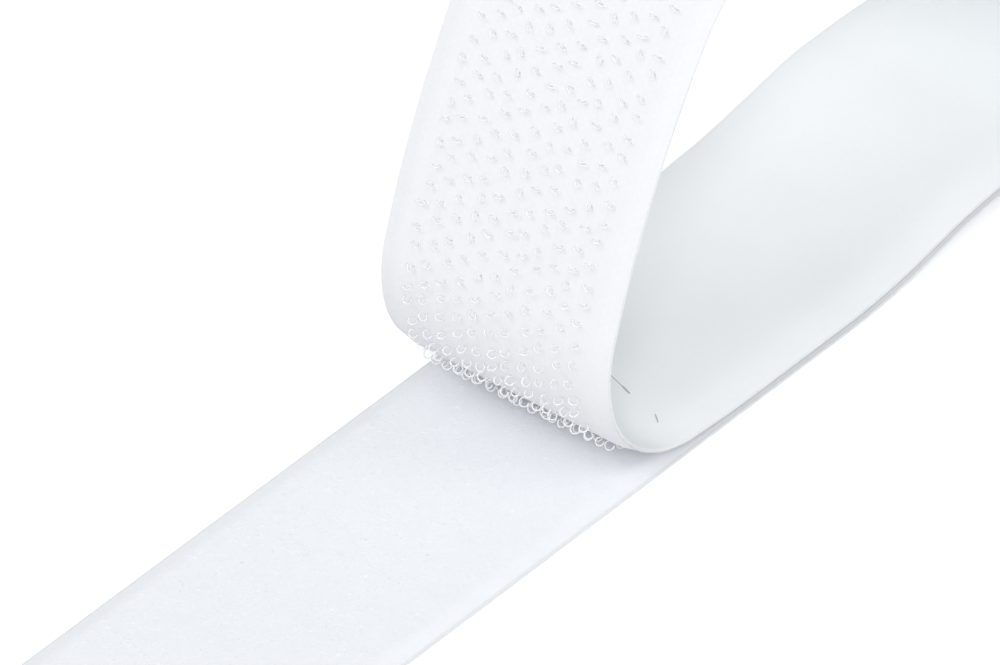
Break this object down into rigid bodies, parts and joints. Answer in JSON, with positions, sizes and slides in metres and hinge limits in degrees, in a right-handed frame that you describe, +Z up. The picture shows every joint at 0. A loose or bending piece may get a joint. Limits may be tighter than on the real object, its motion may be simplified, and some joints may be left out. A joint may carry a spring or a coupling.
{
  "type": "hook and loop tape roll",
  "caption": "White self-adhesive hook and loop tape wound as a mated pair on a card core, with the hook tape's free end peeled up in a springy curl off the loop tape.",
  "frame": {"origin": "on the table, under the peel line at mid width, on the underside of the loop tape's liner", "axes": "+X along the tape from the peel line to the roll, +Y across the tape, +Z up from the table"},
  "size_m": [0.2066, 0.025, 0.0752],
  "materials": {
    "core_card": "spiral-wound grey-brown card",
    "release_liner": "smooth silicone-coated release liner, cool grey-white",
    "adhesive": "clear tacky film",
    "loop_weave": "white woven nylon",
    "loop_pile": "white brushed loop pile",
    "hook_weave": "white woven nylon with monofilament hooks"
  },
  "bodies": {
    "roll": {"core_tube": "core_card", "loop_liner": "release_liner", "loop_liner_wound": "release_liner", "loop_adhesive": "adhesive", "loop_backing": "loop_weave", "loop_pile": "loop_pile", "hook_field": "hook_weave", "hook_backing": "hook_weave", "hook_adhesive": "adhesive", "hook_liner": "release_liner"},
    "peel_1": {"hook_backing_1": "hook_weave", "hook_adhesive_1": "adhesive", "hook_liner_1": "release_liner"},
    "peel_2": {"hook_backing_2": "hook_weave", "hook_adhesive_2": "adhesive", "hook_liner_2": "release_liner"},
    "peel_3": {"hook_backing_3": "hook_weave", "hook_adhesive_3": "adhesive", "hook_liner_3": "release_liner"},
    "peel_4": {"hook_backing_4": "hook_weave", "hook_adhesive_4": "adhesive", "hook_liner_4": "release_liner"},
    "peel_5": {"hook_backing_5": "hook_weave", "hook_adhesive_5": "adhesive", "hook_liner_5": "release_liner"},
    "peel_6": {"hook_backing_6": "hook_weave", "hook_adhesive_6": "adhesive", "hook_liner_6": "release_liner"},
    "peel_7": {"hook_backing_7": "hook_weave", "hook_adhesive_7": "adhesive", "hook_liner_7": "release_liner"},
    "peel_8": {"hook_backing_8": "hook_weave", "hook_adhesive_8": "adhesive", "hook_liner_8": "release_liner"},
    "peel_9": {"hook_backing_9": "hook_weave", "hook_adhesive_9": "adhesive"},
    "liner_tab": {"hook_liner_9": "release_liner"}
  },
  "joints": [
    {"name": "peel", "type": "hinge", "parent": "roll", "child": "peel_1", "pos_m": [0, 0, 0.00266], "axis": [0, 1, 0], "range_deg": [-16.5, 5], "stiffness_Nm_per_rad": 0.01},
    {"name": "peel_bend_2", "type": "hinge", "parent": "peel_1", "child": "peel_2", "pos_m": [-0.00424, 0, 0.00396], "axis": [0, 1, 0], "range_deg": [-27.6, 6], "stiffness_Nm_per_rad": 0.01},
    {"name": "peel_bend_3", "type": "hinge", "parent": "peel_2", "child": "peel_3", "pos_m": [-0.00831, 0, 0.00808], "axis": [0, 1, 0], "range_deg": [-22.1, 6], "stiffness_Nm_per_rad": 0.01},
    {"name": "peel_bend_4", "type": "hinge", "parent": "peel_3", "child": "peel_4", "pos_m": [-0.01049, 0, 0.01345], "axis": [0, 1, 0], "range_deg": [-22.1, 6], "stiffness_Nm_per_rad": 0.01},
    {"name": "peel_bend_5", "type": "hinge", "parent": "peel_4", "child": "peel_5", "pos_m": [-0.01042, 0, 0.01925], "axis": [0, 1, 0], "range_deg": [-15.5, 6], "stiffness_Nm_per_rad": 0.01},
    {"name": "peel_bend_6", "type": "hinge", "parent": "peel_5", "child": "peel_6", "pos_m": [-0.0063, 0, 0.03314], "axis": [0, 1, 0], "range_deg": [-8.9, 6], "stiffness_Nm_per_rad": 0.01},
    {"name": "peel_bend_7", "type": "hinge", "parent": "peel_6", "child": "peel_7", "pos_m": [-0.00007, 0, 0.04621], "axis": [0, 1, 0], "range_deg": [-14.2, 6], "stiffness_Nm_per_rad": 0.01},
    {"name": "peel_bend_8", "type": "hinge", "parent": "peel_7", "child": "peel_8", "pos_m": [0.00334, 0, 0.05027], "axis": [0, 1, 0], "range_deg": [-19.5, 6], "stiffness_Nm_per_rad": 0.01},
    {"name": "peel_bend_9", "type": "hinge", "parent": "peel_8", "child": "peel_9", "pos_m": [0.00794, 0, 0.05293], "axis": [0, 1, 0], "range_deg": [-19.5, 6], "stiffness_Nm_per_rad": 0.01},
    {"name": "liner_lift", "type": "hinge", "parent": "peel_9", "child": "liner_tab", "pos_m": [0.00808, 0, 0.05254], "axis": [0, 1, 0], "range_deg": [0, 60]}
  ]
}
